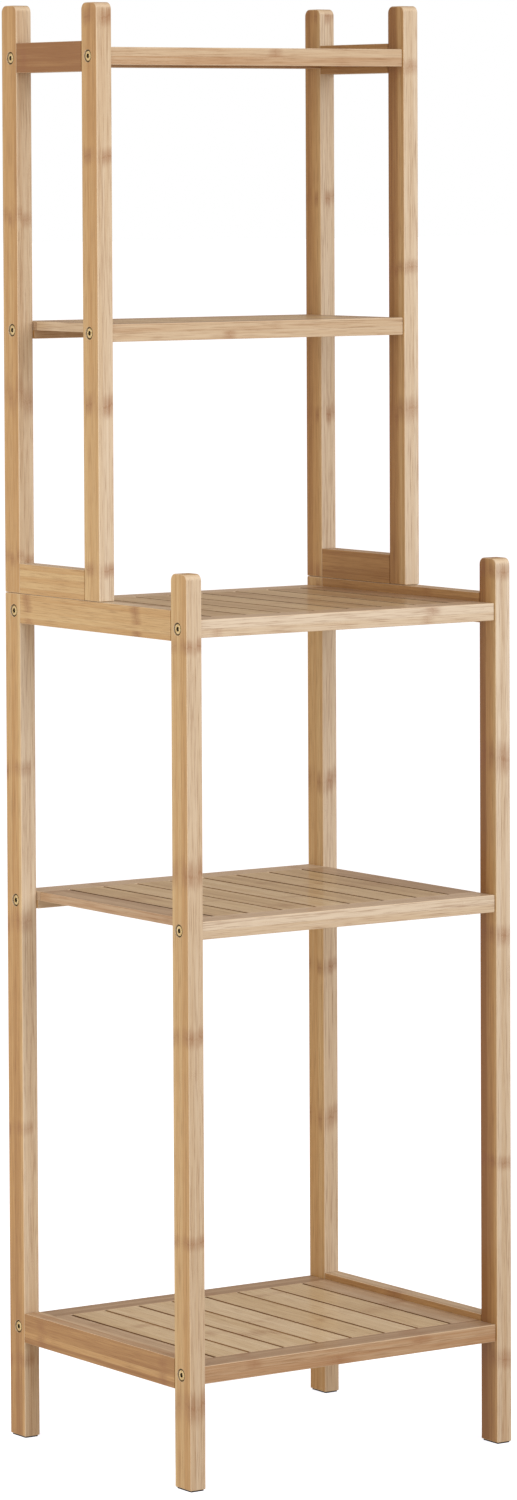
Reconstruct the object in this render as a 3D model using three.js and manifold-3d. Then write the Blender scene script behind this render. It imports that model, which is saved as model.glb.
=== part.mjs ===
// A narrow five-shelf storage tower in laminated bamboo.
//
// Two lower side frames carry two shallower upper side frames. Five slatted shelves hang between
// the posts, each on a front and a rear rail that is bolted through the posts from outside.
//
// Millimetres, +X to the right, +Y to the back, +Z up. The origin is on the floor, under the
// middle of the lower frames.

import * as THREE from 'three';
import { mergeVertices } from 'three/addons/utils/BufferGeometryUtils.js';
import Module from 'manifold-3d';

const wasm = await Module();
wasm.setup();

// ---------------------------------------------------------------- driving dimensions

const WIDTH = 436;                  // over the outer faces of the side frames
const DEPTH = 368;                  // lower frames, front face to back face
const UPPER_DEPTH = 196;            // upper frames, forward from the same back face
const HEIGHT = 1620;                // floor to the top of the upper posts
const SEAM_HEIGHT = 960;            // floor to the joint between lower and upper frames
const FRONT_POST_RISE = 40;         // lower front posts stand this far above the joint

const POST_WIDTH = 20;              // across the tower; the side rails are as thick
const POST_DEPTH = 31;              // front to back
const POST_TOP_RADIUS = 8;          // rounding of the front and back corners of a post top
const EASED_EDGE = 1.2;             // chamfer along the long edges of posts and rails

const BOTTOM_SHELF_HEIGHT = 136;    // floor to the top face of the bottom shelf
const SECOND_SHELF_HEIGHT = 622;    // floor to the top face of the second shelf
const THIRD_SHELF_DROP = 10;        // joint down to the top face of the third shelf
const FOURTH_SHELF_RISE = 306;      // joint up to the top face of the fourth shelf
const TOP_SHELF_DROP = 49;          // top of the upper posts down to the top face of the top shelf

const DECK_THICKNESS = 10;
const END_STRIP_WIDTH = 35;         // solid strip along the front and the back of a deck
const SLAT_COUNT = 9;
const SLAT_GAP = 4.2;
const OUTER_SLAT_TRIM = 5.8;        // the two outer slats are this much narrower than the others
const SHELF_SETBACK = 3;            // shelf edge behind the front face of the post, and at the back
const BEARER_DEPTH = 30;            // strip glued under each end strip, front to back
const BEARER_HEIGHT = 9.3;

const SIDE_RAIL_HEIGHT = 33.5;
const TENON_THICKNESS = 10;
const TENON_SHOULDER = 6;           // side rail left above and below its tenon
const TENON_WALL = 1.5;             // wood left between a tenon and the bolt that crosses behind it

const BOLT_SHANK_DIAMETER = 6.4;
const BOLT_SHANK_LENGTH = 52;
const BOLT_HEAD_DIAMETER = 13;
const BOLT_HEAD_HEIGHT = 2.4;
const BOLT_HEAD_RECESS = 0.6;       // head face below the outer face of the post
const HEX_KEY_SIZE = 5;             // across the flats of the socket
const HEX_SOCKET_DEPTH = 1.6;

const DOWEL_DIAMETER = 8;
const DOWEL_HALF_LENGTH = 15;       // into each of the two pieces that it joins

const PAD_THICKNESS = 1.2;
const PAD_INSET = 1.5;              // pad edge inside the foot of the post

const CLEARANCE = 0.3;              // between pieces that touch
const HEAD_CLEARANCE = 0.6;         // round a bolt head in its counterbore
const HOLE_END_CLEARANCE = 1;       // past the tip of a bolt or a dowel
const CUT_MARGIN = 1;               // how far a cutter reaches past the face that it opens

const SHANK_SIDES = 10;
const HEAD_SIDES = 20;
const POST_TOP_STEPS = 4;           // facets in each rounded corner of a post top

// ---------------------------------------------------------------- derived places

const railStackHeight = DECK_THICKNESS + CLEARANCE + BEARER_HEIGHT;
const deckWidth = WIDTH - 2 * POST_WIDTH - 2 * CLEARANCE;
const slatWidth = (deckWidth - (SLAT_COUNT - 1) * SLAT_GAP + 2 * OUTER_SLAT_TRIM) / SLAT_COUNT;
const slatPitch = slatWidth + SLAT_GAP;

const postBottom = PAD_THICKNESS + CLEARANCE;
const upperBottom = SEAM_HEIGHT + CLEARANCE;
const postX = (WIDTH - POST_WIDTH) / 2;

const backFace = DEPTH / 2;
const lowerFrontFace = -DEPTH / 2;
const upperFrontFace = backFace - UPPER_DEPTH;

const shelfCentres = [
  BOTTOM_SHELF_HEIGHT - railStackHeight / 2,
  SECOND_SHELF_HEIGHT - railStackHeight / 2,
  SEAM_HEIGHT - THIRD_SHELF_DROP - railStackHeight / 2,
  SEAM_HEIGHT + FOURTH_SHELF_RISE - railStackHeight / 2,
  HEIGHT - TOP_SHELF_DROP - railStackHeight / 2,
];
const lowerSideRailCentres = { bottom: shelfCentres[0], top: SEAM_HEIGHT - SIDE_RAIL_HEIGHT / 2 };
const upperSideRailCentres = { bottom: upperBottom + SIDE_RAIL_HEIGHT / 2, top: shelfCentres[4] };

const boltFromPostFace = SHELF_SETBACK + BEARER_DEPTH / 2;
const boltBoreRadius = BOLT_SHANK_DIAMETER / 2 + CLEARANCE;
const counterboreRadius = BOLT_HEAD_DIAMETER / 2 + HEAD_CLEARANCE;
const counterboreDepth = BOLT_HEAD_RECESS + BOLT_HEAD_HEIGHT + CLEARANCE;
const boltReach = BOLT_HEAD_RECESS + BOLT_HEAD_HEIGHT + BOLT_SHANK_LENGTH;
const tenonLength = POST_DEPTH - boltFromPostFace - boltBoreRadius - TENON_WALL;
const tenonHeight = SIDE_RAIL_HEIGHT - 2 * TENON_SHOULDER;
const dowelSocketRadius = DOWEL_DIAMETER / 2 + CLEARANCE;
const rearDowelFromBack = (boltFromPostFace - boltBoreRadius) / 2;

// ---------------------------------------------------------------- materials

function bamboo(colour) {
  return new THREE.MeshStandardMaterial({ color: colour, roughness: 0.42, metalness: 0 });
}

function antiqueBrass() {
  return new THREE.MeshStandardMaterial({ color: 0x8c7440, roughness: 0.35, metalness: 1 });
}

function darkRubber() {
  return new THREE.MeshStandardMaterial({ color: 0x2b2c30, roughness: 0.85, metalness: 0 });
}

// ---------------------------------------------------------------- solids from geometries

function solidFrom(geometry) {
  geometry.deleteAttribute('normal');
  geometry.deleteAttribute('uv');
  const merged = mergeVertices(geometry);
  const mesh = new wasm.Mesh({
    numProp: 3,
    vertProperties: new Float32Array(merged.attributes.position.array),
    triVerts: new Uint32Array(merged.index.array),
  });
  return new wasm.Manifold(mesh);
}

function geometryFrom(solid) {
  const mesh = solid.getMesh();
  const indexed = new THREE.BufferGeometry();
  indexed.setAttribute('position', new THREE.BufferAttribute(mesh.vertProperties, 3));
  indexed.setIndex(new THREE.BufferAttribute(mesh.triVerts, 1));
  const faceted = indexed.toNonIndexed();
  faceted.computeVertexNormals();
  return faceted;
}

function boxSolid(sizeX, sizeY, sizeZ, centre) {
  const geometry = new THREE.BoxGeometry(sizeX, sizeY, sizeZ);
  geometry.translate(centre.x, centre.y, centre.z);
  return solidFrom(geometry);
}

// A round bar along X, from startX to endX.
function barAlongX(radius, sides, startX, endX, y, z) {
  const geometry = new THREE.CylinderGeometry(radius, radius, Math.abs(endX - startX), sides);
  geometry.rotateZ(Math.PI / 2);
  geometry.translate((startX + endX) / 2, y, z);
  return solidFrom(geometry);
}

// A round bar along Z, from startZ to endZ.
function barAlongZ(radius, sides, startZ, endZ, x, y) {
  const geometry = new THREE.CylinderGeometry(radius, radius, Math.abs(endZ - startZ), sides);
  geometry.rotateX(Math.PI / 2);
  geometry.translate(x, y, (startZ + endZ) / 2);
  return solidFrom(geometry);
}

// ---------------------------------------------------------------- outlines

function easedRectangle(width, height, ease) {
  const shape = new THREE.Shape();
  shape.moveTo(-width / 2 + ease, -height / 2);
  shape.lineTo(width / 2 - ease, -height / 2);
  shape.lineTo(width / 2, -height / 2 + ease);
  shape.lineTo(width / 2, height / 2 - ease);
  shape.lineTo(width / 2 - ease, height / 2);
  shape.lineTo(-width / 2 + ease, height / 2);
  shape.lineTo(-width / 2, height / 2 - ease);
  shape.lineTo(-width / 2, -height / 2 + ease);
  shape.closePath();
  return shape;
}

// The side view of a post standing on the baseline, with its two top corners rounded or square.
function postOutline(height, topRadius) {
  const half = POST_DEPTH / 2;
  const shape = new THREE.Shape();
  shape.moveTo(-half, 0);
  shape.lineTo(half, 0);
  shape.lineTo(half, height - topRadius);
  if (topRadius > 0) {
    shape.absarc(half - topRadius, height - topRadius, topRadius, 0, Math.PI / 2);
    shape.absarc(-half + topRadius, height - topRadius, topRadius, Math.PI / 2, Math.PI);
  } else {
    shape.lineTo(-half, height);
  }
  shape.closePath();
  return shape;
}

// ---------------------------------------------------------------- cutters

// The hole for one bolt through a post: bore right through, counterbore from the outer face.
function boltHoleThroughPost(outward, y, z) {
  const outerFace = outward * POST_WIDTH / 2;
  const beyond = outward * CUT_MARGIN;
  const bore = barAlongX(boltBoreRadius, SHANK_SIDES, outerFace + beyond, -outerFace - beyond, y, z);
  const counterboreFloor = outerFace - outward * counterboreDepth;
  const counterbore = barAlongX(counterboreRadius, HEAD_SIDES, outerFace + beyond, counterboreFloor, y, z);
  return bore.add(counterbore);
}

// The hole for one bolt in the end of a shelf rail whose end face is at deckWidth / 2.
function boltHoleInRailEnd(outward, y, z) {
  const depth = boltReach - POST_WIDTH - CLEARANCE + HOLE_END_CLEARANCE;
  const endFace = outward * deckWidth / 2;
  const start = endFace + outward * CUT_MARGIN;
  return barAlongX(boltBoreRadius, SHANK_SIDES, start, endFace - outward * depth, y, z);
}

function mortise(innerSide, z) {
  const depth = tenonLength + CLEARANCE;
  const centreY = innerSide * ((POST_DEPTH + CUT_MARGIN - depth) / 2);
  const width = TENON_THICKNESS + 2 * CLEARANCE;
  const height = tenonHeight + 2 * CLEARANCE;
  return boxSolid(width, depth + CUT_MARGIN, height, new THREE.Vector3(0, centreY, z));
}

// A socket that opens at faceZ and runs up (direction 1) or down (direction -1) from there.
function dowelSocket(faceZ, direction, y) {
  const start = faceZ - direction * CUT_MARGIN;
  const end = faceZ + direction * (DOWEL_HALF_LENGTH + HOLE_END_CLEARANCE);
  return barAlongZ(dowelSocketRadius, SHANK_SIDES, start, end, 0, y);
}

// ---------------------------------------------------------------- pieces

// A post with its section centred on the origin, standing on z = 0. outward is the sign of X
// towards its outer face, innerSide the sign of Y towards the other post of its frame.
function post({ height, rounded, outward, innerSide, boltHeights, railHeights, sockets }) {
  const geometry = new THREE.ExtrudeGeometry(postOutline(height, rounded ? POST_TOP_RADIUS : 0), {
    depth: POST_WIDTH - 2 * EASED_EDGE,
    curveSegments: POST_TOP_STEPS,
    bevelEnabled: true,
    bevelSegments: 1,
    bevelSize: EASED_EDGE,
    bevelThickness: EASED_EDGE,
    bevelOffset: -EASED_EDGE,
  });
  geometry.translate(0, 0, -(POST_WIDTH - 2 * EASED_EDGE) / 2);
  geometry.applyMatrix4(new THREE.Matrix4().makeBasis(
    new THREE.Vector3(0, 1, 0),
    new THREE.Vector3(0, 0, 1),
    new THREE.Vector3(1, 0, 0),
  ));
  let solid = solidFrom(geometry);
  const boltY = innerSide * (boltFromPostFace - POST_DEPTH / 2);
  for (const z of boltHeights) {
    solid = solid.subtract(boltHoleThroughPost(outward, boltY, z));
  }
  for (const z of railHeights) {
    solid = solid.subtract(mortise(innerSide, z));
  }
  for (const { faceZ, direction, y } of sockets) {
    solid = solid.subtract(dowelSocket(faceZ, direction, y));
  }
  return solid;
}

// A side rail centred on the origin, running along Y between two posts, with a tenon at each end.
function sideRail(length, sockets) {
  const geometry = new THREE.ExtrudeGeometry(easedRectangle(POST_WIDTH, SIDE_RAIL_HEIGHT, EASED_EDGE), {
    depth: length,
    bevelEnabled: false,
  });
  geometry.translate(0, 0, -length / 2);
  geometry.rotateX(Math.PI / 2);
  const tenons = boxSolid(TENON_THICKNESS, length + 2 * tenonLength, tenonHeight, new THREE.Vector3());
  let solid = solidFrom(geometry).add(tenons);
  for (const { faceZ, direction, y } of sockets) {
    solid = solid.subtract(dowelSocket(faceZ, direction, y));
  }
  return solid;
}

// A deck with its top face at z = 0: slats front to back, joined by a strip at each end.
function deck(depth) {
  const slotLength = depth - 2 * END_STRIP_WIDTH;
  let solid = boxSolid(deckWidth, depth, DECK_THICKNESS, new THREE.Vector3(0, 0, -DECK_THICKNESS / 2));
  for (let i = 1; i < SLAT_COUNT; i += 1) {
    const slotX = (i - SLAT_COUNT / 2) * slatPitch;
    const slotCentre = new THREE.Vector3(slotX, 0, -DECK_THICKNESS / 2);
    solid = solid.subtract(boxSolid(SLAT_GAP, slotLength, DECK_THICKNESS + 2 * CUT_MARGIN, slotCentre));
  }
  for (const outward of [-1, 1]) {
    for (const side of [-1, 1]) {
      const y = side * (depth - BEARER_DEPTH) / 2;
      solid = solid.subtract(boltHoleInRailEnd(outward, y, -railStackHeight / 2));
    }
  }
  return solid;
}

// The strip glued under an end strip, with z = 0 at the top face of the deck above it.
function bearer() {
  const centreZ = -railStackHeight + BEARER_HEIGHT / 2;
  let solid = boxSolid(deckWidth, BEARER_DEPTH, BEARER_HEIGHT, new THREE.Vector3(0, 0, centreZ));
  for (const outward of [-1, 1]) {
    solid = solid.subtract(boltHoleInRailEnd(outward, 0, -railStackHeight / 2));
  }
  return solid;
}

// A bolt along X, its head face at x = 0 and its tip at positive x.
function bolt() {
  const head = barAlongX(BOLT_HEAD_DIAMETER / 2, HEAD_SIDES, 0, BOLT_HEAD_HEIGHT, 0, 0);
  const tip = BOLT_HEAD_HEIGHT + BOLT_SHANK_LENGTH;
  const shank = barAlongX(BOLT_SHANK_DIAMETER / 2, SHANK_SIDES, BOLT_HEAD_HEIGHT / 2, tip, 0, 0);
  const socketRadius = HEX_KEY_SIZE / Math.sqrt(3);
  const socket = barAlongX(socketRadius, 6, -CUT_MARGIN, HEX_SOCKET_DEPTH, 0, 0);
  return head.add(shank).subtract(socket);
}

// A dowel along Z, centred on the origin.
function dowel() {
  return barAlongZ(DOWEL_DIAMETER / 2, SHANK_SIDES, -DOWEL_HALF_LENGTH, DOWEL_HALF_LENGTH, 0, 0);
}

// A foot pad with its underside at z = 0.
function footPad() {
  const width = POST_WIDTH - 2 * PAD_INSET;
  const depth = POST_DEPTH - 2 * PAD_INSET;
  const geometry = new THREE.ExtrudeGeometry(easedRectangle(width, depth, PAD_INSET), {
    depth: PAD_THICKNESS,
    bevelEnabled: false,
  });
  return solidFrom(geometry);
}

// ---------------------------------------------------------------- assembly

const tower = new THREE.Group();

const SIDES = [
  { sideName: 'left', outward: -1 },
  { sideName: 'right', outward: 1 },
];

const lowerFrontPostY = lowerFrontFace + POST_DEPTH / 2;
const upperFrontPostY = upperFrontFace + POST_DEPTH / 2;
const rearPostY = backFace - POST_DEPTH / 2;
const rearDowelY = backFace - rearDowelFromBack;
const lowerRailY = (lowerFrontPostY + rearPostY) / 2;
const upperRailY = (upperFrontPostY + rearPostY) / 2;

// What differs between the lower and the upper side frames. Heights are from the floor.
const LEVELS = [
  {
    level: 'lower',
    bottom: postBottom,
    frontTop: SEAM_HEIGHT + FRONT_POST_RISE,
    rearTop: SEAM_HEIGHT,
    rearRounded: false,
    frontPostY: lowerFrontPostY,
    railY: lowerRailY,
    boltCentres: shelfCentres.slice(0, 3),
    railCentres: lowerSideRailCentres,
    frontPostSockets: [],
    rearPostSockets: [{ faceZ: SEAM_HEIGHT - postBottom, direction: -1, y: rearDowelY - rearPostY }],
    topRailSockets: [{ faceZ: SIDE_RAIL_HEIGHT / 2, direction: -1, y: upperFrontPostY - lowerRailY }],
  },
  {
    level: 'upper',
    bottom: upperBottom,
    frontTop: HEIGHT,
    rearTop: HEIGHT,
    rearRounded: true,
    frontPostY: upperFrontPostY,
    railY: upperRailY,
    boltCentres: shelfCentres.slice(3),
    railCentres: upperSideRailCentres,
    frontPostSockets: [{ faceZ: 0, direction: 1, y: 0 }],
    rearPostSockets: [{ faceZ: 0, direction: 1, y: rearDowelY - rearPostY }],
    topRailSockets: [],
  },
];

function place(parent, name, solid, material, position) {
  const mesh = new THREE.Mesh(geometryFrom(solid), material);
  mesh.name = name;
  mesh.position.set(...position);
  parent.add(mesh);
  return mesh;
}

function addSideFrame(frame, sideName, outward) {
  const group = new THREE.Group();
  group.position.x = outward * postX;
  tower.add(group);

  const boltHeights = frame.boltCentres.map((z) => z - frame.bottom);
  const railHeights = Object.values(frame.railCentres).map((z) => z - frame.bottom);
  const frontPost = post({
    height: frame.frontTop - frame.bottom,
    rounded: true,
    outward,
    innerSide: 1,
    boltHeights,
    railHeights,
    sockets: frame.frontPostSockets,
  });
  const rearPost = post({
    height: frame.rearTop - frame.bottom,
    rounded: frame.rearRounded,
    outward,
    innerSide: -1,
    boltHeights,
    railHeights,
    sockets: frame.rearPostSockets,
  });
  const label = `${frame.level}_${sideName}`;
  place(group, `${label}_front_post`, frontPost, bamboo(0xd0ab7c), [0, frame.frontPostY, frame.bottom]);
  place(group, `${label}_rear_post`, rearPost, bamboo(0xc9a171), [0, rearPostY, frame.bottom]);

  const railLength = rearPostY - frame.frontPostY - POST_DEPTH - 2 * CLEARANCE;
  const topRail = sideRail(railLength, frame.topRailSockets);
  const bottomRail = sideRail(railLength, []);
  const { top, bottom } = frame.railCentres;
  place(group, `${label}_top_rail`, topRail, bamboo(0xbd8f58), [0, frame.railY, top]);
  place(group, `${label}_bottom_rail`, bottomRail, bamboo(0xbb8c56), [0, frame.railY, bottom]);
}

function addShelf(number, centre, frontFace) {
  const deckTop = centre + railStackHeight / 2;
  const front = frontFace + SHELF_SETBACK;
  const back = backFace - SHELF_SETBACK;
  const deckSolid = deck(back - front);
  place(tower, `shelf_${number}_deck`, deckSolid, bamboo(0xc9ad86), [0, (front + back) / 2, deckTop]);

  const railYs = { front: front + BEARER_DEPTH / 2, rear: back - BEARER_DEPTH / 2 };
  for (const [position, y] of Object.entries(railYs)) {
    place(tower, `shelf_${number}_${position}_bearer`, bearer(), bamboo(0xd3b896), [0, y, deckTop]);
    for (const { sideName, outward } of SIDES) {
      const name = `shelf_${number}_${sideName}_${position}_bolt`;
      const headX = outward * (WIDTH / 2 - BOLT_HEAD_RECESS);
      const mesh = place(tower, name, bolt(), antiqueBrass(), [headX, y, centre]);
      mesh.rotation.z = outward > 0 ? Math.PI : 0;
    }
  }
}

function addDowelsAndPads(sideName, outward) {
  const x = outward * postX;
  const seamMiddle = SEAM_HEIGHT + CLEARANCE / 2;
  place(tower, `${sideName}_front_dowel`, dowel(), bamboo(0xd8c39a), [x, upperFrontPostY, seamMiddle]);
  place(tower, `${sideName}_rear_dowel`, dowel(), bamboo(0xd8c39a), [x, rearDowelY, seamMiddle]);
  place(tower, `${sideName}_front_foot_pad`, footPad(), darkRubber(), [x, lowerFrontPostY, 0]);
  place(tower, `${sideName}_rear_foot_pad`, footPad(), darkRubber(), [x, rearPostY, 0]);
}

for (const { sideName, outward } of SIDES) {
  for (const frame of LEVELS) {
    addSideFrame(frame, sideName, outward);
  }
  addDowelsAndPads(sideName, outward);
}
shelfCentres.forEach((centre, i) => {
  const standsInLowerFrames = i < LEVELS[0].boltCentres.length;
  addShelf(i + 1, centre, standsInLowerFrames ? lowerFrontFace : upperFrontFace);
});

export default tower;
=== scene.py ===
"""A five-shelf storage tower in lacquered laminated bamboo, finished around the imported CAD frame.

Metres, +X to the right, +Y to the back, +Z up. Every piece takes its place from the CAD node that
it stands for.
"""

import math

import bpy
from mathutils import Matrix, Vector


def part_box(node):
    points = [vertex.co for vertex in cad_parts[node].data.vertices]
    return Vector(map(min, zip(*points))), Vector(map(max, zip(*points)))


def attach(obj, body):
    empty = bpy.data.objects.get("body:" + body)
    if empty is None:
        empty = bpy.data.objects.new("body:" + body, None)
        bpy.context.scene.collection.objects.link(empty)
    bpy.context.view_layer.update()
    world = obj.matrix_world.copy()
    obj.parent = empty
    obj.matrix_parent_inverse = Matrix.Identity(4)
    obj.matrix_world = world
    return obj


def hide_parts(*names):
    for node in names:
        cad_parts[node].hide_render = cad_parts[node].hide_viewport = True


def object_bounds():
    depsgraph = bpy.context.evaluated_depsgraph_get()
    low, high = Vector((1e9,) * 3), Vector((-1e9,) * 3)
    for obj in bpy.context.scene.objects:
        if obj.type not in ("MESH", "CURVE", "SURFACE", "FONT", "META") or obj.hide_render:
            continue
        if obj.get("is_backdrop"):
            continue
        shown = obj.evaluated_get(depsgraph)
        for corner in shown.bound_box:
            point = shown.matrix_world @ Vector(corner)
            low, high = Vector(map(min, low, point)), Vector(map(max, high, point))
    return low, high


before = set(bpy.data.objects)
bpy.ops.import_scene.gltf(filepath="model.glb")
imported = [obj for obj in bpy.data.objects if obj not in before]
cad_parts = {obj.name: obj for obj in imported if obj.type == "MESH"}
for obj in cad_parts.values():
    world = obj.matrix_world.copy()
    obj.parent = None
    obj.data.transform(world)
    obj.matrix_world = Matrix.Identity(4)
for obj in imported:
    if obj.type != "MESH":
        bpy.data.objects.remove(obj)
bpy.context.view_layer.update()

MM = 0.001
X, Y, Z = Vector((1, 0, 0)), Vector((0, 1, 0)), Vector((0, 0, 1))
MIDDLE = (X, 0.0)                # the plane that the left and the right side mirror in

# ---------------------------------------------------------------- stock and fittings

POST_EDGE = 1.4 * MM             # rounding of the edges of posts
RAIL_EDGE = 0.6 * MM             # rounding of the long edges of side rails
SHELF_EDGE = 0.8 * MM            # rounding of end strips and bearers
SLAT_EDGE = 0.25 * MM            # rounding of slats
EASE_STEPS = 4
POST_TOP_RADIUS = 8 * MM
POST_TOP_STEPS = 14

CLEARANCE = 0.3 * MM
TENON_THICKNESS = 10 * MM
TENON_SHOULDER = 6 * MM
TENON_REACH = 8 * MM

HEAD_CLEARANCE = 0.6 * MM
HEAD_HEIGHT = 2.4 * MM
HEAD_EDGE = 1.1 * MM
SHANK_RADIUS = 3.2 * MM
SHANK_TIP = 1.2 * MM
HEX_KEY_SIZE = 5 * MM
HEX_SOCKET_DEPTH = 1.6 * MM
HOLE_MOUTH = 0.4 * MM            # sanded rounding where a hole opens
CUT_MARGIN = 1 * MM

END_STRIP_WIDTH = 35 * MM
SLAT_COUNT = 9
SLAT_GAP = 4.2 * MM
OUTER_SLAT_TRIM = 5.8 * MM
SLAT_END_GAP = 0.12 * MM         # the fine line where a slat meets an end strip
GLUE_LINE = 0.05 * MM            # between a deck and the bearer glued under it

PAD_CORNER = 1.5 * MM
PAD_EDGE = 0.3 * MM

SHELF_COUNT = 5

ROUND_SIDES = 48
SQUARE_ANGLE = math.radians(40)  # an edge sharper than this still needs easing
SMOOTH_ANGLE = math.radians(32)  # turned metal is shaded smooth up to this
FACING = 0.9                     # a face or edge lies along an axis past this much of its direction


# ---------------------------------------------------------------- modelling by hand

def deselect_all():
    """Leaves edit mode with nothing selected."""
    if bpy.context.object and bpy.context.object.mode != "OBJECT":
        bpy.ops.object.mode_set(mode="OBJECT")
    bpy.ops.object.select_all(action="DESELECT")


def take(piece):
    """Makes one piece the only selected and active one."""
    deselect_all()
    piece.select_set(True)
    bpy.context.view_layer.objects.active = piece


def settle(piece):
    """Puts a piece's place, turn and size into its mesh, and points its faces outwards."""
    take(piece)
    bpy.ops.object.transform_apply(location=True, rotation=True, scale=True)
    bpy.ops.object.mode_set(mode="EDIT")
    bpy.ops.mesh.select_all(action="SELECT")
    bpy.ops.mesh.normals_make_consistent(inside=False)
    bpy.ops.object.mode_set(mode="OBJECT")


def pick(piece, kind, wanted):
    """Enters edit mode with only the wanted faces or edges selected."""
    take(piece)
    bpy.ops.object.mode_set(mode="EDIT")
    bpy.ops.mesh.select_mode(type=kind)
    bpy.ops.mesh.select_all(action="DESELECT")
    bpy.ops.object.mode_set(mode="OBJECT")
    mesh = piece.data
    if kind == "FACE":
        for face in mesh.polygons:
            face.select = wanted(face.center, face.normal)
    else:
        for edge in mesh.edges:
            a, b = (mesh.vertices[i].co for i in edge.vertices)
            edge.select = wanted((a + b) / 2, (b - a).normalized())
    bpy.ops.object.mode_set(mode="EDIT")


def block(name, low, high):
    """A sawn block between two corners."""
    deselect_all()
    bpy.ops.mesh.primitive_cube_add(size=1, location=(low + high) / 2)
    piece = bpy.context.object
    piece.name = piece.data.name = name
    piece.scale = high - low
    settle(piece)
    return piece


def ease(piece, radius, steps, wanted):
    """Rounds over the wanted edges of a piece."""
    pick(piece, "EDGE", wanted)
    bpy.ops.mesh.bevel(offset=radius, segments=steps, profile=0.5, affect="EDGES")
    bpy.ops.object.mode_set(mode="OBJECT")


def ease_square_edges(piece, radius, steps=EASE_STEPS):
    """Rounds over every edge that is still square."""
    take(piece)
    bpy.ops.object.mode_set(mode="EDIT")
    bpy.ops.mesh.select_mode(type="EDGE")
    bpy.ops.mesh.select_all(action="DESELECT")
    bpy.ops.mesh.edges_select_sharp(sharpness=SQUARE_ANGLE)
    bpy.ops.mesh.bevel(offset=radius, segments=steps, profile=0.5, affect="EDGES")
    bpy.ops.object.mode_set(mode="OBJECT")


def turned(name, start, direction, profile, sides=ROUND_SIDES):
    """A turned piece along X: profile is (distance from start, radius) pairs, drawn out in turn."""
    deselect_all()
    at, width = profile[0]
    bpy.ops.mesh.primitive_circle_add(
        vertices=sides, radius=width, fill_type="NGON", rotation=(0, math.radians(90), 0),
        location=start + X * direction * at)
    piece = bpy.context.object
    piece.name = piece.data.name = name
    bpy.ops.object.transform_apply(location=True, rotation=True, scale=True)
    bpy.ops.object.mode_set(mode="EDIT")
    bpy.ops.mesh.select_mode(type="FACE")
    bpy.ops.mesh.select_all(action="SELECT")
    for distance, radius in profile[1:]:
        step = X * direction * (distance - at)
        bpy.ops.mesh.extrude_region_move(TRANSFORM_OT_translate={"value": step})
        centre = start + X * direction * distance
        share = radius / width
        bpy.ops.transform.resize(value=(1, share, share), center_override=centre)
        at, width = distance, radius
    bpy.ops.object.mode_set(mode="OBJECT")
    settle(piece)
    return piece


def cut_away(piece, cutter):
    """Takes the cutter's shape out of a piece."""
    take(piece)
    cut = piece.modifiers.new("cut", "BOOLEAN")
    cut.operation = "DIFFERENCE"
    cut.solver = "EXACT"
    cut.object = cutter
    bpy.ops.object.modifier_apply(modifier=cut.name)
    bpy.data.objects.remove(cutter, do_unlink=True)


def joined(name, parts):
    """One piece made of several parts, each with its own faces and finishes."""
    deselect_all()
    for part in parts:
        part.select_set(True)
    bpy.context.view_layer.objects.active = parts[0]
    bpy.ops.object.join()
    parts[0].name = parts[0].data.name = name
    return parts[0]


def copied(piece, name, shift=Vector(), flip=None):
    """A copy with its own mesh, moved by shift, or turned over to the other side of flip's plane."""
    twin = piece.copy()
    twin.data = piece.data.copy()
    twin.name = twin.data.name = name
    bpy.context.collection.objects.link(twin)
    if flip:
        axis, plane = flip
        twin.scale = Vector((1, 1, 1)) - 2 * axis
        shift = shift + 2 * plane * axis
    twin.location = shift
    settle(twin)
    return twin


boards_marked = 0


def mark_grain(piece, along, tone, end_tone=None, edge_shift=0):
    """Records where each point lies in its board, across, through and along the grain, and which
    way the board's width and grain run.

    tone is 0 for the palest board and 1 for the darkest; with end_tone the board drifts from tone
    where it starts to end_tone at its far end. edge_shift is how much darker it is along its near
    edge, and paler along its far one. The board's number tells its strips apart from every other
    board's.
    """
    global boards_marked
    boards_marked += 1
    mesh = piece.data
    places = [vertex.co for vertex in mesh.vertices]
    low = Vector(min(place[i] for place in places) for i in range(3))
    high = Vector(max(place[i] for place in places) for i in range(3))
    others = [axis for axis in (X, Y, Z) if axis is not along]
    across = max(others, key=(high - low).dot)
    through = min(others, key=(high - low).dot)
    middle = (low + high) / 2
    reach = (high - low).dot(along)
    drift = 0 if end_tone is None else end_tone - tone
    marks = {"stock": "FLOAT_VECTOR", "across": "FLOAT_VECTOR", "grain": "FLOAT_VECTOR",
             "board": "FLOAT", "tone": "FLOAT"}
    for name, kind in marks.items():
        mesh.attributes.new(name, kind, "POINT")
    for i, vertex in enumerate(mesh.vertices):
        away = vertex.co - middle
        in_board = (away.dot(across), away.dot(through), away.dot(along))
        mesh.attributes["stock"].data[i].vector = in_board
        mesh.attributes["across"].data[i].vector = across
        mesh.attributes["grain"].data[i].vector = along
        mesh.attributes["board"].data[i].value = boards_marked
        share = (vertex.co - low).dot(along) / reach
        sideways = 2 * away.dot(across) / (high - low).dot(across)
        mesh.attributes["tone"].data[i].value = tone + drift * share - edge_shift * sideways


# ---------------------------------------------------------------- finishes

def linear(colour):
    """An sRGB hex value as the linear colour that a shader takes."""
    parts = [((colour >> shift) & 255) / 255 for shift in (16, 8, 0)]
    return [c / 12.92 if c <= 0.04045 else ((c + 0.055) / 1.055) ** 2.4 for c in parts] + [1.0]


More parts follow.
